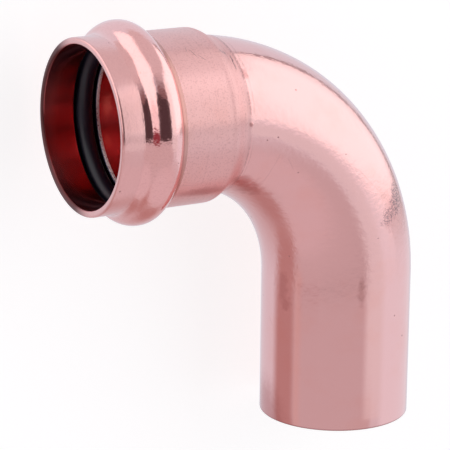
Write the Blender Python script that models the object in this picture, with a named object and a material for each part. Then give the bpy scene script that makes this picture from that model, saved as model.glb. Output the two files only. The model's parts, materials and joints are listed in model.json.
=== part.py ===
# Copper press fitting: a quarter bend with a press socket on one end and a plain tube end on the other,
# with the rubber seal ring that sits in the socket's bead.
# It is drawn with the plain end's axis along +Z and the socket opening towards -X,
# and is then laid on its side, as it comes to rest on a bench.
import math

import bmesh
import bpy
from mathutils import Matrix, Vector

# Driving sizes, in metres
TUBE_DIAMETER = 0.028
TUBE_WALL = 0.0014
SPIGOT_LENGTH = 0.0272
BEND_RADIUS = 0.033
SHOULDER_REACH = 0.0049  # how far the socket's shoulder runs back over the end of the bend
SHOULDER_LENGTH = 0.0037
SOCKET_DEPTH = 0.0219  # from the rim to the foot of the shoulder
SOCKET_BORE = 0.0284
SOCKET_WALL = 0.0014
GUIDE_BORE = 0.0287
BEAD_FROM_RIM = 0.0086
BEAD_WALL = 0.00095
BEAD_FRONT_FILLET = 0.0018
BEAD_REAR_FILLET = 0.0011
SEAL_SECTION = 0.0032
SEAL_PROUD = 0.00065  # how far the ring stands into the socket's bore
SEAL_GAP = 0.0003
GROOVE_FRONT_CORNER = 0.0009
GROOVE_REAR_CORNER = 0.0005
RIM_ROUNDING = 0.0004
SPIGOT_ROUNDING = 0.00025

# How finely the curves are cut
AROUND = 48
SEAL_AROUND = 72
SEAL_SECTION_STEPS = 14
BEND_STEPS = 18
SHOULDER_STEPS = 6
CROWN_STEPS = 5
FILLET_STEPS = 3
EDGE_STEPS = 2
SMOOTH_BELOW = math.radians(50)

# Derived sizes
TUBE_RADIUS = TUBE_DIAMETER / 2
TUBE_BORE_RADIUS = TUBE_RADIUS - TUBE_WALL
SOCKET_BORE_RADIUS = SOCKET_BORE / 2
SOCKET_RADIUS = SOCKET_BORE_RADIUS + SOCKET_WALL
GUIDE_BORE_RADIUS = GUIDE_BORE / 2
BEND_ANGLE = math.acos(SHOULDER_REACH / BEND_RADIUS)
SOCKET_HEIGHT = SPIGOT_LENGTH + BEND_RADIUS * math.sin(BEND_ANGLE)
SOCKET_START = Vector((SHOULDER_REACH - BEND_RADIUS, 0.0, SOCKET_HEIGHT))
SOCKET_LENGTH = SHOULDER_LENGTH + SOCKET_DEPTH
BEAD_AT = SOCKET_LENGTH - BEAD_FROM_RIM
SEAL_RADIUS = SOCKET_BORE_RADIUS - SEAL_PROUD + SEAL_SECTION / 2
GROOVE_RADIUS = SEAL_SECTION / 2 + SEAL_GAP
CROWN_RADIUS = GROOVE_RADIUS + BEAD_WALL

# Finishes, with densities in kg per cubic metre
COPPER = {
    "name": "copper",
    "color": (0.86, 0.50, 0.44, 1.0),
    "metallic": 1.0,
    "roughness": 0.25,
    "density": 8940,
}
SEAL_RUBBER = {
    "name": "seal_rubber",
    "color": (0.02, 0.02, 0.022, 1.0),
    "metallic": 0.0,
    "roughness": 0.45,
    "density": 1200,
}


def clear_scene():
    for obj in list(bpy.data.objects):
        bpy.data.objects.remove(obj, do_unlink=True)


def make_collection(name):
    collection = bpy.data.collections.new(name)
    bpy.context.scene.collection.children.link(collection)
    return collection


def make_material(finish):
    material = bpy.data.materials.new(finish["name"])
    material.use_nodes = True
    shader = material.node_tree.nodes["Principled BSDF"]
    shader.inputs["Base Color"].default_value = finish["color"]
    shader.inputs["Metallic"].default_value = finish["metallic"]
    shader.inputs["Roughness"].default_value = finish["roughness"]
    return material


def ease(share):
    """Runs from 0 to 1 with level ends."""
    return share * share * (3 - 2 * share)


def station(centre, lean, radius):
    """Places a unit circle across the tube; lean turns it from +Z towards -X."""
    turn = Matrix.Rotation(-lean, 4, "Y")
    return Matrix.Translation(centre) @ turn @ Matrix.Scale(radius, 4)


def arc(centre, radius, start, end, steps):
    """Points (along, out) of an arc; its angles run from the outward direction to the rim's side."""
    points = []
    for step in range(steps + 1):
        angle = start + (end - start) * step / steps
        points.append((centre[0] + radius * math.sin(angle), centre[1] + radius * math.cos(angle)))
    return points


def bend_stations(radius):
    """Stations along the bend, whose sections turn a full quarter to meet the socket squarely."""
    stations = []
    for step in range(BEND_STEPS + 1):
        angle = BEND_ANGLE * step / BEND_STEPS
        lean = math.pi / 2 * step / BEND_STEPS
        out = BEND_RADIUS * (1 - math.cos(angle))
        centre = Vector((-out, 0, SPIGOT_LENGTH + BEND_RADIUS * math.sin(angle)))
        stations.append(station(centre, lean, radius))
    return stations


def spigot_stations(profile):
    """Turns a profile of (along, out) points into stations up the plain end."""
    return [station(Vector((0, 0, along)), 0, out) for along, out in profile]


def socket_stations(profile):
    """Turns a profile of (along, out) points into stations towards the rim of the socket."""
    return [station(SOCKET_START - Vector((along, 0, 0)), math.pi / 2, out) for along, out in profile]


def shoulder_profile(tube_radius, socket_radius):
    """The smooth swell from tube size to socket size."""
    points = []
    for step in range(1, SHOULDER_STEPS + 1):
        share = step / SHOULDER_STEPS
        points.append((SHOULDER_LENGTH * share, tube_radius + (socket_radius - tube_radius) * ease(share)))
    return points


def bead_side(wall_radius, fillet, crown_radius, toward_rim):
    """One side of a bead or groove, from its crown to the wall.

    The crown runs straight into the fillet, or into a square flank where the wall lies far enough below.
    """
    rise = max(wall_radius + fillet - SEAL_RADIUS, 0)
    reach = math.sqrt((crown_radius + fillet) ** 2 - rise ** 2)
    leave = math.atan2(reach, rise)
    crown = arc((BEAD_AT, SEAL_RADIUS), crown_radius, 0, toward_rim * leave, CROWN_STEPS)
    foot_centre = (BEAD_AT + toward_rim * reach, wall_radius + fillet)
    foot = arc(foot_centre, fillet, math.pi + toward_rim * leave, math.pi, FILLET_STEPS)
    if rise > 0:
        foot = foot[1:]
    return crown + foot


def outer_socket_profile():
    """Shoulder, socket, seal bead, guide and rim, seen from outside."""
    rim_centre = (SOCKET_LENGTH - RIM_ROUNDING, SOCKET_RADIUS - RIM_ROUNDING)
    profile = shoulder_profile(TUBE_RADIUS, SOCKET_RADIUS)
    profile += reversed(bead_side(SOCKET_RADIUS, BEAD_REAR_FILLET, CROWN_RADIUS, -1))
    profile += bead_side(SOCKET_RADIUS, BEAD_FRONT_FILLET, CROWN_RADIUS, 1)[1:]
    profile += arc(rim_centre, RIM_ROUNDING, 0, math.pi / 2, EDGE_STEPS)
    return profile


def inner_socket_profile():
    """Rim, guide bore, seal groove, socket bore and the stop inside the shoulder, seen from inside."""
    rim_centre = (SOCKET_LENGTH - RIM_ROUNDING, GUIDE_BORE_RADIUS + RIM_ROUNDING)
    profile = arc(rim_centre, RIM_ROUNDING, math.pi / 2, math.pi, EDGE_STEPS)
    profile += reversed(bead_side(GUIDE_BORE_RADIUS, GROOVE_FRONT_CORNER, GROOVE_RADIUS, 1))
    profile += bead_side(SOCKET_BORE_RADIUS, GROOVE_REAR_CORNER, GROOVE_RADIUS, -1)[1:]
    profile += reversed(shoulder_profile(TUBE_BORE_RADIUS, SOCKET_BORE_RADIUS))
    return profile


def wall_stations():
    """The whole wall: up the outside to the rim, over it, and back down the inside to the plain end."""
    outer_edge = (SPIGOT_ROUNDING, TUBE_RADIUS - SPIGOT_ROUNDING)
    inner_edge = (SPIGOT_ROUNDING, TUBE_BORE_RADIUS + SPIGOT_ROUNDING)
    stations = spigot_stations(arc(outer_edge, SPIGOT_ROUNDING, -math.pi / 2, 0, EDGE_STEPS))
    stations += bend_stations(TUBE_RADIUS)
    stations += socket_stations(outer_socket_profile())
    stations += socket_stations(inner_socket_profile())
    stations += reversed(bend_stations(TUBE_BORE_RADIUS))
    stations += spigot_stations(arc(inner_edge, SPIGOT_ROUNDING, -math.pi, -math.pi / 2, EDGE_STEPS))
    return stations


def add_to_model(obj, collection, material, rest):
    for other in list(obj.users_collection):
        other.objects.unlink(obj)
    collection.objects.link(obj)
    obj.data.materials.append(material)
    obj.data.shade_smooth()
    obj.data.set_sharp_from_angle(angle=SMOOTH_BELOW)
    obj.parent = rest


def make_body():
    """One formed piece of copper tube: a circle extruded from station to station, closed at the plain end."""
    stations = wall_stations()
    bm = bmesh.new()
    bmesh.ops.create_circle(bm, cap_ends=False, segments=AROUND, radius=1.0, matrix=stations[0])
    first_loop = bm.edges[:]
    loop = first_loop
    for before, after in zip(stations, stations[1:]):
        made = bmesh.ops.extrude_edge_only(bm, edges=loop)["geom"]
        fresh = {item for item in made if isinstance(item, bmesh.types.BMVert)}
        edges = [item for item in made if isinstance(item, bmesh.types.BMEdge)]
        loop = [edge for edge in edges if fresh.issuperset(edge.verts)]
        bmesh.ops.transform(bm, matrix=after @ before.inverted(), verts=list(fresh))
    bmesh.ops.bridge_loops(bm, edges=first_loop + loop)
    bmesh.ops.recalc_face_normals(bm, faces=bm.faces)
    mesh = bpy.data.meshes.new("elbow_body")
    bm.to_mesh(mesh)
    bm.free()
    return bpy.data.objects.new("elbow_body", mesh)


def make_seal():
    """The round rubber ring, seated in the bead and standing a little into the socket."""
    bpy.ops.mesh.primitive_torus_add(
        major_radius=SEAL_RADIUS,
        minor_radius=SEAL_SECTION / 2,
        major_segments=SEAL_AROUND,
        minor_segments=SEAL_SECTION_STEPS,
        location=SOCKET_START - Vector((BEAD_AT, 0, 0)),
        rotation=(0, math.pi / 2, 0),
    )
    seal = bpy.context.object
    seal.name = "seal_ring"
    seal.data.name = "seal_ring"
    return seal


def centre_of_mass(parts):
    """Weighs each closed mesh by its signed tetrahedra."""
    total = 0.0
    moment = Vector((0, 0, 0))
    for obj, density in parts:
        obj.data.calc_loop_triangles()
        points = [obj.matrix_basis @ vert.co for vert in obj.data.vertices]
        for triangle in obj.data.loop_triangles:
            a, b, c = (points[index] for index in triangle.vertices)
            mass = density * a.dot(b.cross(c)) / 6
            total += mass
            moment += mass * (a + b + c) / 4
    return moment / total


def resting_side(body, balance):
    """Which way points down when the fitting lies on its +Y side.

    It comes to rest on the face of its convex hull that is nearest to the balance point.
    """
    bm = bmesh.new()
    bm.from_mesh(body.data)
    hull = bmesh.ops.convex_hull(bm, input=bm.verts)["geom"]
    faces = [item for item in hull if isinstance(item, bmesh.types.BMFace)]
    centre = sum((vert.co for vert in bm.verts), Vector()) / len(bm.verts)
    best = None
    for face in faces:
        a, b, c = (vert.co for vert in face.verts[:3])
        normal = (b - a).cross(c - a).normalized()
        if normal.dot(a - centre) < 0:
            normal.negate()
        height = normal.dot(a - balance)
        if normal.y > 0 and (best is None or height < best[0]):
            best = (height, normal.copy())
    bm.free()
    return best[1]


def lay_down(rest, body, balance):
    """Turns the fitting onto its side, with the plain end's axis over +Y, centred and on the ground."""
    up = -resting_side(body, balance)
    along = (Vector((0, 0, 1)) - up * up.z).normalized()
    across = along.cross(up)
    turn = Matrix((across, along, up)).to_4x4()
    points = [turn @ vert.co for vert in body.data.vertices]
    low = Vector(min(point[axis] for point in points) for axis in range(3))
    high = Vector(max(point[axis] for point in points) for axis in range(3))
    middle = (low + high) / 2
    rest.matrix_world = Matrix.Translation((-middle.x, -middle.y, -low.z)) @ turn


def main():
    clear_scene()
    collection = make_collection("press_fitting")
    rest = bpy.data.objects.new("resting_place", None)
    collection.objects.link(rest)
    body = make_body()
    seal = make_seal()
    add_to_model(body, collection, make_material(COPPER), rest)
    add_to_model(seal, collection, make_material(SEAL_RUBBER), rest)
    lay_down(rest, body, centre_of_mass(((body, COPPER["density"]), (seal, SEAL_RUBBER["density"]))))


main()
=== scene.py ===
import json
import math

import bmesh
import bpy
from mathutils import Matrix, Vector


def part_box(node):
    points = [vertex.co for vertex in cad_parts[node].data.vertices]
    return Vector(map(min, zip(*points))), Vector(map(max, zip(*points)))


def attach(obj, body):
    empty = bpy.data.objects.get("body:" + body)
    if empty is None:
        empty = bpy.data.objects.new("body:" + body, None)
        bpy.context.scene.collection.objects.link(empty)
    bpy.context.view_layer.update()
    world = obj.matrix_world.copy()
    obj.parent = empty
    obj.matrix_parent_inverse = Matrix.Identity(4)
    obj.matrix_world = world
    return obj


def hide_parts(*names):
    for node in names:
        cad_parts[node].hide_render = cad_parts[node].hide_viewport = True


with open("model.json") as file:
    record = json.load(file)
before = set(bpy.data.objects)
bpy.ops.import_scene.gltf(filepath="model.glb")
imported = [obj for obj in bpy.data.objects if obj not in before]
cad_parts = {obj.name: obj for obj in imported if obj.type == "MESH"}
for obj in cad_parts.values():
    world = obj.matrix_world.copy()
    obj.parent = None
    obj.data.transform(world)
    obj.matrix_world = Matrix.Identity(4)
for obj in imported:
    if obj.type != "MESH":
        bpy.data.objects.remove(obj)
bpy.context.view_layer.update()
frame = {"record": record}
print("frame loaded")

# The fitting, drawn upright: the plain end stands on the origin and the socket opens towards -X (metres)
elbow = {
    "tubeDiameter": 0.028,
    "tubeWall": 0.0014,
    "plainLength": 0.0272,
    "bendRadius": 0.033,
    "shoulderReach": 0.0049,  # how far the shoulder runs back over the end of the bend
    "shoulderLength": 0.0037,
    "socketDepth": 0.0219,  # rim to the foot of the shoulder
    "socketBore": 0.0284,
    "socketWall": 0.0014,
    "guideBore": 0.0287,
    "beadFromRim": 0.0086,
    "beadWall": 0.00095,
    "beadForward": 0.00018,  # how far the bead's front half lies ahead of its rear half
    "beadFrontCrown": 0.0033,
    "beadFrontFillet": 0.0021,
    "beadRearFillet": 0.0015,
    "grooveFrontCorner": 0.0009,
    "grooveRearCorner": 0.0005,
    "rimRounding": 0.0004,
    "plainRounding": 0.00025,
    "around": 192,
    "bendSteps": 60,
    "plainSteps": 12,
    "shoulderSteps": 12,
    "crownSteps": 14,
    "filletSteps": 8,
    "edgeSteps": 5,
}
sealRing = {
    "section": 0.0032,
    "proud": 0.00065,  # how far the ring stands into the socket's bore
    "gap": 0.0003,
    "around": 240,
    "sectionSteps": 48,
}

# Radii and places that follow from those sizes
tubeRadius = elbow["tubeDiameter"] / 2
tubeBoreRadius = tubeRadius - elbow["tubeWall"]
socketBoreRadius = elbow["socketBore"] / 2
socketRadius = socketBoreRadius + elbow["socketWall"]
guideBoreRadius = elbow["guideBore"] / 2
socketLength = elbow["shoulderLength"] + elbow["socketDepth"]
beadAt = socketLength - elbow["beadFromRim"]
bendAngle = math.acos(elbow["shoulderReach"] / elbow["bendRadius"])
socketHeight = elbow["plainLength"] + elbow["bendRadius"] * math.sin(bendAngle)
socketStart = Vector((elbow["shoulderReach"] - elbow["bendRadius"], 0, socketHeight))
sealRadius = socketBoreRadius - sealRing["proud"] + sealRing["section"] / 2
grooveRadius = sealRing["section"] / 2 + sealRing["gap"]
crownRadius = grooveRadius + elbow["beadWall"]


def ease(share):
    return share * share * (3 - 2 * share)


def station(centre, lean, radius):  # a unit circle placed across the tube, leaning from +Z towards -X
    return Matrix.Translation(centre) @ Matrix.Rotation(-lean, 4, "Y") @ Matrix.Scale(radius, 4)


# Points (along, out) on an arc; its angles run from outward towards the rim's side
def arcPoints(centre, radius, start, end, steps):
    at, out = centre
    angles = [start + (end - start) * step / steps for step in range(steps + 1)]
    return [(at + radius * math.sin(angle), out + radius * math.cos(angle)) for angle in angles]


def plainStations(profile):
    return [station(Vector((0, 0, along)), 0, out) for along, out in profile]


def straightStations(radius):  # the plain end between its edge and the bend
    span = elbow["plainLength"] / elbow["plainSteps"]
    return plainStations([(span * step, radius) for step in range(1, elbow["plainSteps"])])


def bendStations(radius):
    stations = []
    for step in range(elbow["bendSteps"] + 1):
        share = step / elbow["bendSteps"]
        angle = bendAngle * share
        out = elbow["bendRadius"] * (1 - math.cos(angle))
        centre = Vector((-out, 0, elbow["plainLength"] + elbow["bendRadius"] * math.sin(angle)))
        stations.append(station(centre, math.pi / 2 * share, radius))
    return stations


def socketStations(profile):
    return [station(socketStart - Vector((along, 0, 0)), math.pi / 2, out) for along, out in profile]


def shoulderProfile(fromRadius, toRadius):
    shares = [step / elbow["shoulderSteps"] for step in range(1, elbow["shoulderSteps"] + 1)]
    growth = toRadius - fromRadius
    return [(elbow["shoulderLength"] * share, fromRadius + growth * ease(share)) for share in shares]


# From the crown of a bead or groove down to the wall; towardRim is 1, or -1 for the rear side
def beadSide(centre, crown, wallRadius, fillet, towardRim):
    at, out = centre
    standOff = max(wallRadius + fillet - out, 0)
    reach = math.sqrt((crown + fillet) ** 2 - standOff ** 2)
    leave = math.atan2(reach, standOff)
    top = arcPoints(centre, crown, 0, towardRim * leave, elbow["crownSteps"])
    foot = (at + towardRim * reach, wallRadius + fillet)
    bottom = arcPoints(foot, fillet, math.pi + towardRim * leave, math.pi, elbow["filletSteps"])
    return top + (bottom[1:] if standOff > 0 else bottom)


def outerSocket():
    rounding = elbow["rimRounding"]
    rearCentre = (beadAt, sealRadius)
    frontCentre = (beadAt + elbow["beadForward"], sealRadius + crownRadius - elbow["beadFrontCrown"])
    profile = shoulderProfile(tubeRadius, socketRadius)
    profile += reversed(beadSide(rearCentre, crownRadius, socketRadius, elbow["beadRearFillet"], -1))
    profile += beadSide(frontCentre, elbow["beadFrontCrown"], socketRadius, elbow["beadFrontFillet"], 1)
    rimCentre = (socketLength - rounding, socketRadius - rounding)
    return profile + arcPoints(rimCentre, rounding, 0, math.pi / 2, elbow["edgeSteps"])


def innerSocket():
    rounding = elbow["rimRounding"]
    rimCentre = (socketLength - rounding, guideBoreRadius + rounding)
    grooveCentre = (beadAt, sealRadius)
    profile = arcPoints(rimCentre, rounding, math.pi / 2, math.pi, elbow["edgeSteps"])
    profile += reversed(beadSide(grooveCentre, grooveRadius, guideBoreRadius, elbow["grooveFrontCorner"], 1))
    profile += beadSide(grooveCentre, grooveRadius, socketBoreRadius, elbow["grooveRearCorner"], -1)[1:]
    return profile + shoulderProfile(tubeBoreRadius, socketBoreRadius)[::-1]


def wallStations():  # up the outside to the rim, over it, and back down the inside
    rounding = elbow["plainRounding"]
    outerEdge = (rounding, tubeRadius - rounding)
    innerEdge = (rounding, tubeBoreRadius + rounding)
    stations = plainStations(arcPoints(outerEdge, rounding, -math.pi / 2, 0, elbow["edgeSteps"]))
    stations += straightStations(tubeRadius)
    stations += bendStations(tubeRadius)
    stations += socketStations(outerSocket())
    stations += socketStations(innerSocket())
    stations += bendStations(tubeBoreRadius)[::-1]
    stations += straightStations(tubeBoreRadius)[::-1]
    innerArc = arcPoints(innerEdge, rounding, -math.pi, -math.pi / 2, elbow["edgeSteps"])
    return stations + plainStations(innerArc)


# Where an upright mesh has to go to lie as the CAD body does, by the mounts' axes and the node's box
def restingPlace(bm):
    axes = {mount["name"]: Vector(mount["axis"]) for mount in frame["record"]["mounts"]}
    upright = -axes["plain_end"].normalized()
    across = -axes["socket_rim"].normalized()
    turn = Matrix((across, upright.cross(across), upright)).transposed()
    points = [turn @ vert.co for vert in bm.verts]
    low = Vector(min(point[axis] for point in points) for axis in range(3))
    high = Vector(max(point[axis] for point in points) for axis in range(3))
    boxLow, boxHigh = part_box("elbow_body")
    shift = (boxLow + boxHigh - low - high) / 2
    shift.z = boxLow.z - low.z
    return Matrix.Translation(shift) @ turn.to_4x4()


def finishPiece(bm, name, material, place, node):
    bmesh.ops.transform(bm, matrix=place, verts=bm.verts)
    mesh = bpy.data.meshes.new(name)
    bm.to_mesh(mesh)
    bm.free()
    mesh.shade_smooth()
    mesh.materials.append(material)
    piece = bpy.data.objects.new(name, mesh)
    bpy.context.scene.collection.objects.link(piece)
    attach(piece, "root")
    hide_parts(node)
    return piece


def layUv(bm, around, along):  # u runs once round the tube, v along its wall in decimetres
    uv = bm.loops.layers.uv.new("wall")
    for face in bm.faces:
        turns = [loop.vert[around] for loop in face.loops]
        wraps = max(turns) - min(turns) > 0.5
        for loop, turn in zip(face.loops, turns):
            loop[uv].uv = (turn + 1 if wraps and turn < 0.5 else turn, loop.vert[along] * 10)


def makeElbow():
    stations = wallStations()
    bm = bmesh.new()
    around = bm.verts.layers.float.new("around")
    along = bm.verts.layers.float.new("along")
    reach = bm.verts.layers.float.new("reach")
    bmesh.ops.create_circle(bm, cap_ends=False, segments=elbow["around"], radius=1, matrix=stations[0])
    for vert in bm.verts:
        vert[around] = ringTurn(stations[0], vert)
    firstLoop = bm.edges[:]
    loop = firstLoop
    travelled = 0
    for before, after in zip(stations, stations[1:]):
        made = bmesh.ops.extrude_edge_only(bm, edges=loop)["geom"]
        fresh = {item for item in made if isinstance(item, bmesh.types.BMVert)}
        edges = [item for item in made if isinstance(item, bmesh.types.BMEdge)]
        loop = [edge for edge in edges if fresh.issuperset(edge.verts)]
        bmesh.ops.transform(bm, matrix=after @ before.inverted(), verts=list(fresh))
        step = (after.translation - before.translation).length
        travelled += math.hypot(step, after.median_scale - before.median_scale)
        ahead = socketStart.x - after.translation.x
        for vert in fresh:
            vert[around] = ringTurn(after, vert)
            vert[along] = travelled
            vert[reach] = ahead
        if ahead > socketLength - 1e-6:
            rimAlong = travelled
    bmesh.ops.bridge_loops(bm, edges=firstLoop + loop)
    bmesh.ops.recalc_face_normals(bm, faces=bm.faces)
    layUv(bm, around, along)
    return bm, rimAlong


def ringTurn(ring, vert):  # how far round its ring a vertex stands, from 0 to 1
    local = ring.inverted() @ vert.co
    return math.atan2(local.y, local.x) / math.tau % 1


def makeSealRing():
    bm = bmesh.new()
    section = sealRing["section"] / 2
    spinAt = Matrix.Translation((sealRadius, 0, 0)) @ Matrix.Rotation(math.pi / 2, 4, "X")
    bmesh.ops.create_circle(bm, segments=sealRing["sectionSteps"], radius=section, matrix=spinAt)
    bmesh.ops.spin(
        bm, geom=bm.verts[:] + bm.edges[:], cent=(0, 0, 0), axis=(0, 0, 1),
        angle=math.tau, steps=sealRing["around"], use_merge=True,
    )
    bmesh.ops.remove_doubles(bm, verts=bm.verts, dist=1e-7)
    place = Matrix.Translation(socketStart - Vector((beadAt, 0, 0))) @ Matrix.Rotation(math.pi / 2, 4, "Y")
    bmesh.ops.transform(bm, matrix=place, verts=bm.verts)
    bmesh.ops.recalc_face_normals(bm, faces=bm.faces)
    return bm


def addNode(tree, kind, settings=None, **inputs):  # inputs are values or the sockets that feed them
    node = tree.nodes.new(kind)
    for name, value in (settings or {}).items():
        setattr(node, name, value)
    for name, value in inputs.items():
        slot = node.inputs[int(name[1:])] if name[0] == "i" and name[1:].isdigit() else node.inputs[name]
        if isinstance(value, bpy.types.NodeSocket):
            tree.links.new(value, slot)
        else:
            slot.default_value = value
    return node


def mathNode(tree, operation, first, second=0):
    return addNode(tree, "ShaderNodeMath", {"operation": operation}, i0=first, i1=second).outputs[0]


def mixColors(tree, share, first, second):
    node = addNode(tree, "ShaderNodeMix", {"data_type": "RGBA"}, i0=share, i6=first, i7=second)
    return node.outputs[2]


def rise(tree, value, low, high):  # 0 at low, 1 at high, smooth between
    smooth = {"interpolation_type": "SMOOTHSTEP"}
    return addNode(tree, "ShaderNodeMapRange", smooth, i0=value, i1=low, i2=high).outputs[0]


def newMaterial(name):
    material = bpy.data.materials.new(name)
    material.use_nodes = True
    return material, material.node_tree, material.node_tree.nodes["Principled BSDF"]


def between(tree, value, low, high, edge):  # 1 from low to high, 0 outside
    return times(tree, rise(tree, value, low - edge, low), rise(tree, value, high + edge, high))


def riseFrom(tree, value, start, zone):  # a rise over (from, to), measured from start
    low, high = zone
    return rise(tree, value, start + low, start + high)


def zoneFrom(tree, value, start, zone):  # 1 over (from, to, soft edge), measured from start
    low, high, edge = zone
    return between(tree, value, start + low, start + high, edge)


def patches(tree, value, limits, *masks):  # where a noise passes (from, to), inside the masks, times a share
    low, high, share = limits
    return times(tree, rise(tree, value, low, high), *masks, share)


def mixValues(tree, share, first, second):
    return addNode(tree, "ShaderNodeMix", {}, i0=share, i2=first, i3=second).outputs[0]


def addUp(tree, values):
    total = values[0]
    for value in values[1:]:
        total = mathNode(tree, "ADD", total, value)
    return total


def times(tree, *values):
    product = values[0]
    for value in values[1:]:
        product = mathNode(tree, "MULTIPLY", product, value)
    return product


def noise(tree, vector, scale, detail=2, roughness=0.5):
    settings = {"Scale": scale, "Detail": detail, "Roughness": roughness}
    return addNode(tree, "ShaderNodeTexNoise", Vector=vector, **settings).outputs["Fac"]


def vectorNode(tree, operation, first, second=(0, 0, 0)):
    return addNode(tree, "ShaderNodeVectorMath", {"operation": operation}, i0=first, i1=second)


def wallValue(tree, name):
    return addNode(tree, "ShaderNodeAttribute", {"attribute_name": name}).outputs["Fac"]


def addRelief(tree, shader, height):  # heights are in thousandths of a millimetre
    relief = addNode(tree, "ShaderNodeBump", Height=height, Distance=0.000001, Strength=1)
    tree.links.new(relief.outputs[0], shader.inputs["Normal"])


wearInputs = ("peelScale", "grainScale", "pitScale", "pitSize", "hairScale", "hairWidth")
wearShape = {
    "cloudScale": 0.13,  # of the orange peel's scale
    "pitChance": (0.55, 1.0),  # more than half of the cells have no pit
    "pitFade": (1.0, 0.5),  # of the pit's own size
    "hairFade": (1, 0.3),  # of the hairline's width
    "hairEnd": (0.45, 0.2),  # from a cell's middle, in cells
    "hairClouds": (0.48, 0.56),  # hairlines lie where the clouds are above these
    "markFade": (1.15, 0.35),  # of the oval mark's half sizes
}


def makeWearGroup():  # orange peel, grain, clouds, pits and straight hairlines, each from 0 to 1
    group = bpy.data.node_groups.new("wear", "ShaderNodeTree")
    group.interface.new_socket("place", in_out="INPUT", socket_type="NodeSocketVector")
    for name in wearInputs:
        group.interface.new_socket(name, in_out="INPUT", socket_type="NodeSocketFloat")
    for name in ("peel", "grain", "clouds", "pits", "hairs"):
        group.interface.new_socket(name, in_out="OUTPUT", socket_type="NodeSocketFloat")
    given = group.nodes.new("NodeGroupInput").outputs
    place = given["place"]
    peel = noise(group, place, given["peelScale"], 2, 0.55)
    grain = noise(group, place, given["grainScale"], 1, 0.5)
    clouds = noise(group, place, times(group, given["peelScale"], wearShape["cloudScale"]), 3, 0.6)

    # Small round pits, of chance sizes
    cells = addNode(group, "ShaderNodeTexVoronoi", Vector=place, Scale=given["pitScale"])
    chance = addNode(group, "ShaderNodeSeparateColor", Color=cells.outputs["Color"]).outputs[0]
    size = times(group, given["pitSize"], rise(group, chance, *wearShape["pitChance"]))
    away = mathNode(group, "DIVIDE", cells.outputs["Distance"], mathNode(group, "MAXIMUM", size, 0.0001))
    pits = rise(group, away, *wearShape["pitFade"])

    # A hairline is where a plane of a chance lean cuts the wall, close to a cell's middle
    cells = addNode(group, "ShaderNodeTexVoronoi", Vector=place, Scale=given["hairScale"])
    offset = vectorNode(group, "SUBTRACT", place, cells.outputs["Position"]).outputs["Vector"]
    lean = vectorNode(group, "SUBTRACT", cells.outputs["Color"], (0.5, 0.5, 0.5)).outputs["Vector"]
    lean = vectorNode(group, "NORMALIZE", lean).outputs["Vector"]
    aside = mathNode(group, "ABSOLUTE", vectorNode(group, "DOT_PRODUCT", offset, lean).outputs["Value"])
    line = rise(group, mathNode(group, "DIVIDE", aside, given["hairWidth"]), *wearShape["hairFade"])
    far = times(group, vectorNode(group, "LENGTH", offset).outputs["Value"], given["hairScale"])
    ends = rise(group, far, *wearShape["hairEnd"])
    hairs = times(group, line, ends, rise(group, clouds, *wearShape["hairClouds"]))

    result = group.nodes.new("NodeGroupOutput")
    made = {"peel": peel, "grain": grain, "clouds": clouds, "pits": pits, "hairs": hairs}
    for name, value in made.items():
        group.links.new(value, result.inputs[name])
    return group


def wearOn(tree, finish):  # the wear group in a material, at the finish's own scales
    spot = addNode(tree, "ShaderNodeTexCoord").outputs["Object"]
    scales = {name: finish[name] for name in wearInputs}
    return addNode(tree, "ShaderNodeGroup", {"node_tree": wearGroup}, place=spot, **scales).outputs


# A soft oval mark on the wall, or a scratch where it is thin: around is in turns, the rest in metres
def makeMarkGroup():
    group = bpy.data.node_groups.new("mark", "ShaderNodeTree")
    for name in ("around", "along", "atAround", "atAlong", "halfAround", "halfAlong", "turn", "ragged"):
        group.interface.new_socket(name, in_out="INPUT", socket_type="NodeSocketFloat")
    group.interface.new_socket("mask", in_out="OUTPUT", socket_type="NodeSocketFloat")
    given = group.nodes.new("NodeGroupInput").outputs
    turns = mathNode(group, "SUBTRACT", given["around"], given["atAround"])
    aside = times(group, turns, math.tau * tubeRadius)
    above = mathNode(group, "SUBTRACT", given["along"], given["atAlong"])
    cosine = mathNode(group, "COSINE", given["turn"])
    sine = mathNode(group, "SINE", given["turn"])
    across = addUp(group, [times(group, aside, cosine), times(group, above, sine)])
    upward = mathNode(group, "SUBTRACT", times(group, above, cosine), times(group, aside, sine))
    across = mathNode(group, "DIVIDE", across, given["halfAround"])
    upward = mathNode(group, "DIVIDE", upward, given["halfAlong"])
    squares = [times(group, across, across), times(group, upward, upward)]
    distance = mathNode(group, "SQRT", addUp(group, squares))
    mask = rise(group, addUp(group, [distance, given["ragged"]]), *wearShape["markFade"])
    result = group.nodes.new("NodeGroupOutput")
    group.links.new(mask, result.inputs["mask"])
    return group


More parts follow.
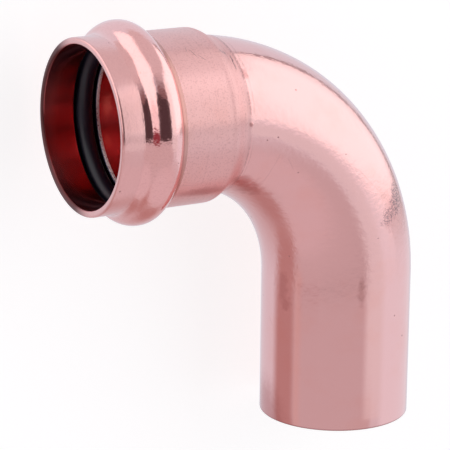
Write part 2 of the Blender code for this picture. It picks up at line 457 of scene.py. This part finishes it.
# Where the finishes and the painted shade and highlights change, in metres along the wall
wallZones = {
    "plainEdge": (0.0006, 0.0001),
    "bend": (0.020, 0.032),  # from the drawn tube to the bent one
    "socketEdge": 0.0006,
    "shoulderEdge": 0.0008,
    "insideEdge": 0.0005,
    "beadRear": (-0.0041, -0.0032),  # these are measured from the bead's middle
    "beadFront": (0.0048, 0.0043),
    "guide": (0.0030, 0.0040),
    "foot": (-0.00375, -0.0026, 0.0002),  # from, to and soft edge, as in the next ones; painted shade at the bead's rear foot
    # painted shade in the groove
    "groove": (-0.0021, 0.0024, 0.0003),
    # painted highlight along the groove's rear corner
    "corner": (-0.0026, -0.0022, 0.00012),
    "rim": (-0.0009, 0.0004, 0.0002),  # from the rim; painted shade and roughness lie here
    "rimAround": (0.10, 0.47, 0.07),  # in turns; the painted shade on the rim lies only on this side of it
}
# The copper's colours, roughness and relief; some of the colours are painted shade and painted highlights
copperFinish = {
    "color": (0.93, 0.54, 0.52, 1),
    "socketColor": (0.985, 0.562, 0.537, 1),
    "warmColor": (0.93, 0.47, 0.42, 1),
    # painted shade on the rim's far side
    "rimShadeColor": (0.15, 0.055, 0.055, 1),
    "footShadeColor": (0.52, 0.25, 0.20, 1),  # painted shade in the crease at the bead's rear foot
    "edgeColor": (0.40, 0.19, 0.18, 1),  # the cut edge of the plain end
    # painted shade: the inside is darker and redder than the outer copper
    "insideShadeColor": (0.82, 0.25, 0.25, 1),
    # painted highlight: a pale, broken line on the groove's rear corner
    "cornerHighlightColor": (1.0, 0.90, 0.87, 1),
    # painted highlight inside the bore
    "boreHighlightColor": (1.0, 0.66, 0.52, 1),
    # painted shade and a painted reflection of the black ring in the groove
    "grooveShadeColor": (0.04, 0.035, 0.06, 1),
    "markColor": (0.54, 0.21, 0.20, 1),
    # grey patches on the bend, and painted shade in the crease at the shoulder's end
    "greyPatchAndShadeColor": (0.25, 0.165, 0.18, 1),
    # pits and scratches, and painted shade on the crease lines
    "pitAndCreaseShadeColor": (0.25, 0.11, 0.11, 1),
    "cloudTint": (0.45, 0.75, 0.35),  # noise from and to, and the share of the colour
    "lightLines": (0.5, 0.8, 0.3),
    "darkLines": (0.45, 0.2, 0.22),
    "speckle": (0.50, 0.70),  # noise from and to, as in each pair below
    "socketSpeckle": 0.10,  # shares of the colour, down to hairShare
    "mattSpeckle": 0.16,
    "footShadeShare": 0.65,
    "pitShare": 0.7,
    "hairShare": 0.2,
    "greyMottle": (0.40, 0.58, 0.15),  # noise from and to, and the least share
    "cornerHighlightGrain": (0.30, 0.42),
    "creaseClouds": (0.36, 0.54),
    "creaseGrain": (0.3, 0.55),
    "satinMetal": 0.76,  # the satin scatters a part of the light evenly
    "tubeRoughness": 0.07,
    "bendRoughness": 0.14,
    "socketRoughness": 0.28,
    "guideRoughness": 0.17,
    "beadRoughness": 0.11,
    "shoulderRoughness": 0.36,
    "rimRoughness": 0.34,
    "insideRoughness": 0.17,
    "cornerRoughness": 0.55,
    "cloudRoughness": 0.02,
    "tintRoughness": 0.12,
    "anisotropy": 0.9,
    "anisotropyTurn": 0.25,  # the satin's lines run round the socket
    "peelScale": 900,  # per metre, as the scales below
    "grainScale": 3400,
    "pitScale": 420,
    "pitSize": 0.10,  # the largest, in cells
    "hairScale": 95,
    "hairWidth": 0.00005,  # metres
    "drawnPeel": 5,  # heights in thousandths of a millimetre
    "bendPeel": 44,
    "socketPeel": 14,
    "beadPeel": 34,
    "tintPeel": 2.5,  # a mark at full strength adds this many times the peel under it
    "greyPeel": 1.6,
    "tubeGrain": 0.8,
    "beadGrain": 7,
    "socketGrain": 12,
    "turning": 6,
    "turningPitch": 0.0003,  # metres
    "turningDetail": 2,
    "turningBreakup": 0.7,
    "pitDepth": 20,
    "hairDepth": 5,
    "creaseDepth": 7,
    "creases": [  # metres from the shoulder's end, half width, strength; the strength sets the dent and the painted shade in the colour
        (-0.0003, 0.00011, 0.40), (-0.0010, 0.00009, 0.14), (0.0009, 0.00010, 0.12),
    ],
    # Marks: around in turns, along, half sizes in metres, turn in degrees, strength, raggedness
    "marks": [
        (0.534, 0.0272, 0.0014, 0.0050, 0, 0.34, 1.4), (0.543, 0.0236, 0.0012, 0.0017, 0, 0.34, 1.6),
        (0.711, 0.0268, 0.0009, 0.0032, 0, 0.30, 1.2), (0.470, 0.0000, 0.0070, 0.0088, 0, 0.62, 0.3),
        (0.626, 0.0822, 0.0014, 0.0052, 0, 0.45, 0.5), (0.605, 0.0690, 0.0031, 0.0050, 0, 0.45, 1.2),
        (0.624, 0.0722, 0.0017, 0.0034, 0, 0.52, 0.6), (0.822, 0.0388, 0.0036, 0.0024, 25, 0.34, 1.6),
        (0.860, 0.0736, 0.0012, 0.0005, 0, 0.45, 1.4), (0.757, 0.0739, 0.0005, 0.0005, 0, 0.65, 0.8),
        (0.150, 0.0400, 0.0026, 0.0035, 30, 0.35, 1.4), (0.020, 0.0180, 0.0010, 0.0050, 0, 0.35, 1.2),
        (0.300, 0.0610, 0.0014, 0.0030, 20, 0.35, 1.4), (0.960, 0.0520, 0.0010, 0.0025, -15, 0.3, 1.4),
    ],
    # Two grey patches on the bend; the two at 0.0747 and 0.0764 along are painted shade in the crease
    "greyPatchAndShadeMarks": [
        (0.848, 0.0398, 0.0035, 0.0022, 33, 0.90, 1.5), (0.808, 0.0388, 0.0026, 0.0015, 0, 0.70, 1.5),
        (0.888, 0.0747, 0.0021, 0.00024, -3, 0.85, 0.4), (0.909, 0.0764, 0.0004, 0.0012, 0, 0.60, 0.5),
    ],
    # painted highlights deep in the socket's bore
    "boreHighlightMarks": [
        (0.248, 0.1190, 0.0027, 0.0011, 0, 1.0, 0.9), (0.319, 0.1184, 0.0014, 0.0009, 0, 0.7, 1.0),
    ],
    "scratchesAndCreaseShade": [  # around in turns, along, half length in metres, turn in degrees, strength; the one at 0.0748 along is painted shade on the crease
        (0.905, 0.0829, 0.0013, 22, 0.55), (0.893, 0.0817, 0.0011, 40, 0.45),
        (0.917, 0.0838, 0.0008, -12, 0.35), (0.900, 0.0757, 0.0022, 8, 0.45),
        (0.886, 0.0748, 0.0019, -4, 0.80), (0.560, 0.0560, 0.0016, 70, 0.12),
        (0.700, 0.0630, 0.0020, 62, 0.12), (0.320, 0.0300, 0.0030, 75, 0.30),
        (0.100, 0.0820, 0.0024, 15, 0.35),
    ],
    "scratchHalfWidth": 0.00009,
}


def marksOn(tree, around, along, ragged, marks):  # the strongest of the marks at each place
    total = None
    for atAround, atAlong, halfAround, halfAlong, turn, strength, raggedness in marks:
        extent = {
            "around": around, "along": along, "atAround": atAround, "atAlong": atAlong,
            "halfAround": halfAround, "halfAlong": halfAlong,
            "turn": math.radians(turn), "ragged": times(tree, ragged, raggedness),
        }
        mark = addNode(tree, "ShaderNodeGroup", {"node_tree": markGroup}, **extent)
        share = times(tree, mark.outputs["mask"], strength)
        total = share if total is None else mathNode(tree, "MAXIMUM", total, share)
    return total


def makeCopper():
    material, tree, shader = newMaterial("copper")
    finish = copperFinish
    zones = wallZones
    wallUv = addNode(tree, "ShaderNodeUVMap", {"uv_map": "wall"}).outputs[0]
    around = addNode(tree, "ShaderNodeSeparateXYZ", i0=wallUv).outputs[0]
    along = wallValue(tree, "along")
    reach = wallValue(tree, "reach")
    wear = wearOn(tree, finish)

    # Where each finish, and each patch of painted shade or highlight, lies on the wall
    inside = rise(tree, along, rimAlong, rimAlong + zones["insideEdge"])
    outside = mathNode(tree, "SUBTRACT", 1, inside)
    socket = rise(tree, reach, 0, zones["socketEdge"])
    beadRear = riseFrom(tree, reach, beadAt, zones["beadRear"])
    bead = times(tree, beadRear, riseFrom(tree, reach, beadAt, zones["beadFront"]))
    # The bead's rear foot, where painted shade darkens the crease
    foot = times(tree, outside, zoneFrom(tree, reach, beadAt, zones["foot"]))
    edge = times(tree, outside, riseFrom(tree, along, 0, zones["plainEdge"]))
    guide = riseFrom(tree, reach, beadAt, zones["guide"])
    satin = times(tree, socket, outside, mathNode(tree, "SUBTRACT", 1, bead))
    matt = times(tree, satin, mathNode(tree, "SUBTRACT", 1, guide))
    shoulder = between(tree, reach, 0, elbow["shoulderLength"], zones["shoulderEdge"])
    shoulder = times(tree, outside, shoulder)
    bend = times(tree, riseFrom(tree, along, 0, zones["bend"]), outside)
    # The rim, with painted shade on one side of it only
    rim = zoneFrom(tree, along, rimAlong, zones["rim"])
    rim = times(tree, rim, zoneFrom(tree, around, 0, zones["rimAround"]))
    # The groove inside the bead, where painted shade darkens the copper
    groove = times(tree, inside, zoneFrom(tree, reach, beadAt, zones["groove"]))
    # The groove's rear corner, where a broken line of painted highlight lies
    corner = times(tree, inside, zoneFrom(tree, reach, beadAt, zones["corner"]))
    corner = times(tree, corner, rise(tree, wear["grain"], *finish["cornerHighlightGrain"]))

    # Marks left by handling and by the tools, with painted shade on the creases and painted highlights in
    # the bore
    ragged = mathNode(tree, "SUBTRACT", wear["peel"], 0.5)
    tint = times(tree, marksOn(tree, around, along, ragged, finish["marks"]), outside)
    greyPatchAndShade = times(tree, marksOn(tree, around, along, ragged, finish["greyPatchAndShadeMarks"]), outside)
    low, high, least = finish["greyMottle"]
    greyPatchAndShade = times(tree, greyPatchAndShade, mixValues(tree, rise(tree, wear["grain"], low, high), least, 1))
    # Painted highlights inside the bore
    boreHighlight = times(tree, marksOn(tree, around, along, ragged, finish["boreHighlightMarks"]), inside)
    width = finish["scratchHalfWidth"]
    scratchesAndCreaseShade = [
        (atAround, atAlong, halfLength, width, turn, strength, 0)
        for atAround, atAlong, halfLength, turn, strength in finish["scratchesAndCreaseShade"]
    ]
    scratchAndCreaseShade = marksOn(tree, around, along, ragged, scratchesAndCreaseShade)
    hairs = times(tree, wear["hairs"], finish["hairShare"])
    scratchAndCreaseShade = times(tree, mathNode(tree, "MAXIMUM", scratchAndCreaseShade, hairs), outside)
    # The crease lines at the shoulder's end: a dent in the relief, and painted shade in the colour
    crease = None
    for at, half, strength in finish["creases"]:
        line = times(tree, between(tree, reach, at - half, at + half, half), strength)
        crease = line if crease is None else mathNode(tree, "MAXIMUM", crease, line)
    broken = rise(tree, wear["clouds"], *finish["creaseClouds"])
    crease = times(tree, crease, outside, broken, rise(tree, wear["grain"], *finish["creaseGrain"]))

    # Turning lines run round the socket
    angle = mathNode(tree, "MULTIPLY", around, math.tau)
    cosine = mathNode(tree, "COSINE", angle)
    ring = addNode(tree, "ShaderNodeCombineXYZ", i0=cosine, i1=mathNode(tree, "SINE", angle))
    tree.links.new(mathNode(tree, "DIVIDE", along, finish["turningPitch"]), ring.inputs[2])
    turning = noise(tree, ring.outputs[0], 1, finish["turningDetail"], finish["turningBreakup"])

    # The colours, each laid over the ones before it
    speckle = times(tree, socket, finish["socketSpeckle"])
    speckle = addUp(tree, [speckle, times(tree, matt, finish["mattSpeckle"])])
    speckle = times(tree, rise(tree, wear["grain"], *finish["speckle"]), speckle)
    # Pits and scratches, and painted shade on the creases, in one dark colour
    specksAndCreaseShade = mathNode(tree, "MAXIMUM", times(tree, wear["pits"], finish["pitShare"]), scratchAndCreaseShade)
    specksAndCreaseShade = times(tree, mathNode(tree, "MAXIMUM", specksAndCreaseShade, crease), outside)
    color = mixColors(tree, socket, finish["color"], finish["socketColor"])
    for share, name in (
        (patches(tree, wear["clouds"], finish["cloudTint"]), "warmColor"),
        (patches(tree, turning, finish["lightLines"], matt), "warmColor"),
        (patches(tree, turning, finish["darkLines"], matt), "markColor"),
        (speckle, "markColor"),
        (tint, "markColor"),
        # grey patches on the bend, and painted shade in the crease
        (greyPatchAndShade, "greyPatchAndShadeColor"),
        # painted shade at the bead's rear foot
        (times(tree, foot, finish["footShadeShare"]), "footShadeColor"),
        (edge, "edgeColor"),
        # painted shade inside the tube and socket
        (inside, "insideShadeColor"),
        # painted highlights inside the bore
        (boreHighlight, "boreHighlightColor"),
        # painted shade on the rim's far side
        (rim, "rimShadeColor"),
        # painted shade in the groove
        (groove, "grooveShadeColor"),
        # painted highlight on the groove's rear corner
        (corner, "cornerHighlightColor"),
        # pits, scratches and painted shade on the creases
        (specksAndCreaseShade, "pitAndCreaseShadeColor"),
    ):
        color = mixColors(tree, share, color, finish[name])
    tree.links.new(color, shader.inputs["Base Color"])

    roughness = mixValues(tree, bend, finish["tubeRoughness"], finish["bendRoughness"])
    for share, name in (
        (socket, "socketRoughness"),
        (guide, "guideRoughness"),
        (shoulder, "shoulderRoughness"),
        (bead, "beadRoughness"),
        (foot, "socketRoughness"),
        (inside, "insideRoughness"),
        (rim, "rimRoughness"),
        (corner, "cornerRoughness"),
    ):
        roughness = mixValues(tree, share, roughness, finish[name])
    clouded = times(tree, wear["clouds"], finish["cloudRoughness"])
    tinted = times(tree, tint, finish["tintRoughness"])
    roughness = addUp(tree, [roughness, clouded, tinted, -finish["cloudRoughness"] / 2])
    tree.links.new(roughness, shader.inputs["Roughness"])
    tree.links.new(mixValues(tree, satin, 1, finish["satinMetal"]), shader.inputs["Metallic"])

    peel = mixValues(tree, bend, finish["drawnPeel"], finish["bendPeel"])
    peel = mixValues(tree, satin, peel, finish["socketPeel"])
    peel = mixValues(tree, times(tree, bead, outside), peel, finish["beadPeel"])
    worn = [1, times(tree, tint, finish["tintPeel"]), times(tree, greyPatchAndShade, finish["greyPeel"])]
    peel = times(tree, peel, addUp(tree, worn))
    grain = mixValues(tree, socket, finish["tubeGrain"], finish["beadGrain"])
    grain = mixValues(tree, matt, grain, finish["socketGrain"])
    addRelief(tree, shader, addUp(tree, [
        times(tree, wear["peel"], peel), times(tree, wear["grain"], grain),
        times(tree, turning, satin, finish["turning"]), times(tree, wear["pits"], -finish["pitDepth"]),
        times(tree, scratchAndCreaseShade, -finish["hairDepth"]), times(tree, crease, -finish["creaseDepth"]),
    ]))

    shader.inputs["Anisotropic"].default_value = finish["anisotropy"]
    shader.inputs["Anisotropic Rotation"].default_value = finish["anisotropyTurn"]
    tangent = addNode(tree, "ShaderNodeTangent", {"direction_type": "UV_MAP", "uv_map": "wall"})
    tree.links.new(tangent.outputs[0], shader.inputs["Tangent"])
    return material


rubberFinish = {
    "color": (0.009, 0.009, 0.019, 1),
    "dustColor": (0.024, 0.024, 0.042, 1),
    "roughness": 0.38,
    "peelScale": 700,
    "grainScale": 3000,
    "pitScale": 500,
    "pitSize": 0.12,
    "hairScale": 160,
    "hairWidth": 0.00006,
    "dustClouds": (0.52, 0.72),
    "dustRoughness": 0.16,
    "peelRoughness": 0.08,
    "peel": 9,  # heights in thousandths of a millimetre
    "grain": 3,
    "pitDepth": 12,
}


def makeRubber():
    material, tree, shader = newMaterial("rubber")
    finish = rubberFinish
    wear = wearOn(tree, finish)
    dust = mathNode(tree, "MAXIMUM", rise(tree, wear["clouds"], *finish["dustClouds"]), wear["hairs"])
    tree.links.new(mixColors(tree, dust, finish["color"], finish["dustColor"]), shader.inputs["Base Color"])
    dusty = times(tree, dust, finish["dustRoughness"])
    uneven = times(tree, wear["peel"], finish["peelRoughness"])
    roughness = addUp(tree, [dusty, uneven, finish["roughness"] - finish["peelRoughness"] / 2])
    tree.links.new(roughness, shader.inputs["Roughness"])
    addRelief(tree, shader, addUp(tree, [
        times(tree, wear["peel"], finish["peel"]), times(tree, wear["grain"], finish["grain"]),
        times(tree, wear["pits"], -finish["pitDepth"]),
    ]))
    return material


wearGroup = makeWearGroup()
markGroup = makeMarkGroup()
elbowMesh, rimAlong = makeElbow()
lying = restingPlace(elbowMesh)
copper = makeCopper()
rubber = makeRubber()
body = finishPiece(elbowMesh, "elbow", copper, lying, "elbow_body")
print("elbow made,", len(body.data.polygons), "faces")
seal = finishPiece(makeSealRing(), "seal", rubber, lying, "seal_ring")
print("seal ring made,", len(seal.data.polygons), "faces")

# The camera, found from the outline in the photograph; it is given for the upright fitting
# and laid down with it
photoView = {
    "azimuth": -31.2013,
    "elevation": 14.8107,
    "roll": -0.531,
    "lens": 175.857,
    "aimAt": (-0.0168, 0, 0.03556),
    "right": 0.006493,  # where the aim lies from the middle of the frame
    "down": 0.002232,
    "distance": 0.40192,
}


def makeCamera():
    turn, tilt, roll = (math.radians(photoView[key]) for key in ("azimuth", "elevation", "roll"))
    back = Vector((math.sin(turn) * math.cos(tilt), -math.cos(turn) * math.cos(tilt), math.sin(tilt)))
    level = Vector((math.cos(turn), math.sin(turn), 0))
    fall = (-back).cross(level)
    right = level * math.cos(roll) + fall * math.sin(roll)
    down = fall * math.cos(roll) - level * math.sin(roll)
    eye = Vector(photoView["aimAt"]) - right * photoView["right"] - down * photoView["down"]
    eye += back * photoView["distance"]
    upright = Matrix((right, -down, back)).transposed().to_4x4()
    upright.translation = eye
    camera = bpy.data.objects.new("camera", bpy.data.cameras.new("camera"))
    camera.data.sensor_width = 36
    camera.data.lens = photoView["lens"]
    camera.data.clip_start = 0.01
    camera.data.clip_end = 20
    camera.matrix_world = lying @ upright
    bpy.context.scene.collection.objects.link(camera)
    bpy.context.scene.camera = camera


makeCamera()
print("camera placed")


# The studio, in degrees seen from the fitting as it stands upright: azimuth 0 is the camera's side,
# +90 its right. Each zone has a name, azimuth (from, to, soft edge), elevation (the same) and color,
# and covers the ones before it.
studio = {
    "backdrop": (0.77, 0.85, 0.94),
    "zones": [
        ("ceiling", (-400, 400, 1), (52, 200, 10), (0.69, 0.65, 0.68)),
        ("tableFar", (-400, 400, 1), (-200, -29, 60), (0.61, 0.54, 0.57)),
        ("table", (-92, 58, 8), (-200, -5, 12), (0.61, 0.555, 0.585)),
        ("tableBelow", (-80, 160, 30), (-86, -40, 18), (0.68, 0.62, 0.66)),
        ("tableRight", (46, 152, 14), (-20.5, -6, 5), (0.79, 0.82, 0.86)),
        ("tableRightEnd", (76, 152, 16), (-28, -6, 6), (0.83, 0.90, 0.98)),
        ("warmCard", (-108, -69, 19), (-61, 1, 26), (0.50, 0.33, 0.33)),
        ("warmEdge", (-68, -57, 9), (-30, -8, 12), (0.65, 0.535, 0.54)),
        ("warmTable", (135, 280, 60), (-88, -58, 26), (0.49, 0.32, 0.32)),
        ("cameraTop", (-14, 60, 24), (10, 52, 24), (0.25, 0.16, 0.17)),
        ("cameraSide", (-27, 46, 8), (-11, 34, 5), (0.080, 0.052, 0.060)),
        ("leftLampFoot", (-122, -27, 8), (-6, 20, 6), (1.00, 0.92, 0.96)),
        ("leftLamp", (-122, -25, 8), (14, 60, 14), (1.32, 1.30, 1.33)),
        ("redCard", (-62, -27, 5), (-13.5, -4, 3), (0.27, 0.055, 0.075)),
        ("gap", (100, 150.5, 3), (-8, 44, 6), (0.32, 0.26, 0.27)),
        ("rightLampSide", (47.5, 146, 5), (-3.5, 50.5, 12), (1.04, 1.06, 1.09)),
        ("rightLamp", (70, 140, 22), (-3.5, 50.5, 12), (1.38, 1.41, 1.44)),
    ],
}
zoneInputs = ("azimuth", "elevation", "towards", "halfWidth", "sideEdge", "height", "halfHeight", "topEdge")


def makeZoneGroup():
    group = bpy.data.node_groups.new("zone", "ShaderNodeTree")
    for name in zoneInputs:
        group.interface.new_socket(name, in_out="INPUT", socket_type="NodeSocketFloat")
    group.interface.new_socket("mask", in_out="OUTPUT", socket_type="NodeSocketFloat")
    given = group.nodes.new("NodeGroupInput").outputs
    aside = mathNode(group, "SUBTRACT", given["azimuth"], given["towards"])
    aside = addNode(group, "ShaderNodeMath", {"operation": "WRAP"}, i0=aside, i1=180, i2=-180).outputs[0]
    above = mathNode(group, "SUBTRACT", given["elevation"], given["height"])

    def within(offset, half, edge):
        left = mathNode(group, "SUBTRACT", half, mathNode(group, "ABSOLUTE", offset))
        return rise(group, mathNode(group, "DIVIDE", left, edge), -0.5, 0.5)

    across = within(aside, given["halfWidth"], given["sideEdge"])
    upDown = within(above, given["halfHeight"], given["topEdge"])
    result = group.nodes.new("NodeGroupOutput")
    group.links.new(mathNode(group, "MULTIPLY", across, upDown), result.inputs["mask"])
    return group


def makeWorld():
    world = bpy.data.worlds.new("studio")
    world.use_nodes = True
    bpy.context.scene.world = world
    tree = world.node_tree
    turn = math.radians(photoView["azimuth"])
    toCamera = lying.to_3x3() @ Vector((math.sin(turn), -math.cos(turn), 0))
    toRight = lying.to_3x3() @ Vector((math.cos(turn), math.sin(turn), 0))
    up = lying.to_3x3() @ Vector((0, 0, 1))
    direction = addNode(tree, "ShaderNodeTexCoord").outputs["Generated"]

    def share(axis):
        return vectorNode(tree, "DOT_PRODUCT", direction, axis).outputs["Value"]

    azimuth = mathNode(tree, "DEGREES", mathNode(tree, "ARCTAN2", share(toRight), share(toCamera)))
    elevation = mathNode(tree, "DEGREES", mathNode(tree, "ARCSINE", share(up)))
    group = makeZoneGroup()
    color = addNode(tree, "ShaderNodeRGB").outputs[0]
    color.default_value = (*studio["backdrop"], 1)
    for label, azimuths, elevations, zoneColor in studio["zones"]:
        node = addNode(tree, "ShaderNodeGroup", {"node_tree": group, "label": label})
        tree.links.new(azimuth, node.inputs["azimuth"])
        tree.links.new(elevation, node.inputs["elevation"])
        left, right, sideEdge = azimuths
        bottom, top, topEdge = elevations
        extent = {
            "towards": (left + right) / 2, "halfWidth": (right - left) / 2, "sideEdge": sideEdge,
            "height": (bottom + top) / 2, "halfHeight": (top - bottom) / 2, "topEdge": topEdge,
        }
        for name, value in extent.items():
            node.inputs[name].default_value = value
        color = mixColors(tree, node.outputs["mask"], color, (*zoneColor, 1))
    lit = tree.nodes["Background"]
    tree.links.new(color, lit.inputs["Color"])
    seen = addNode(tree, "ShaderNodeBackground", Color=(1, 1, 1, 1), Strength=1)
    cameraRay = addNode(tree, "ShaderNodeLightPath").outputs["Is Camera Ray"]
    both = addNode(tree, "ShaderNodeMixShader", i0=cameraRay, i1=lit.outputs[0], i2=seen.outputs[0])
    tree.links.new(both.outputs[0], tree.nodes["World Output"].inputs["Surface"])


floorLook = {"size": 6, "white": 0.77, "reflectance": 0.42}


def makeFloor():
    bpy.ops.mesh.primitive_plane_add(size=floorLook["size"], location=(0, 0, 0))
    floor = bpy.context.object
    floor.name = "floor"
    floor.visible_glossy = False  # in the metal, the studio shows all round
    material, tree, shader = newMaterial("paleFloor")
    tree.nodes.remove(shader)
    matte = addNode(tree, "ShaderNodeBsdfDiffuse", Color=(floorLook["reflectance"],) * 3 + (1,))
    glow = addNode(tree, "ShaderNodeEmission", Color=(1, 1, 1, 1))
    cameraRay = addNode(tree, "ShaderNodeLightPath").outputs["Is Camera Ray"]
    tree.links.new(mathNode(tree, "MULTIPLY", cameraRay, floorLook["white"]), glow.inputs["Strength"])
    both = addNode(tree, "ShaderNodeAddShader", i0=matte.outputs[0], i1=glow.outputs[0])
    tree.links.new(both.outputs[0], tree.nodes["Material Output"].inputs["Surface"])
    floor.data.materials.append(material)


makeWorld()
makeFloor()
print("studio lit")
bpy.context.scene.view_settings.view_transform = "Standard"
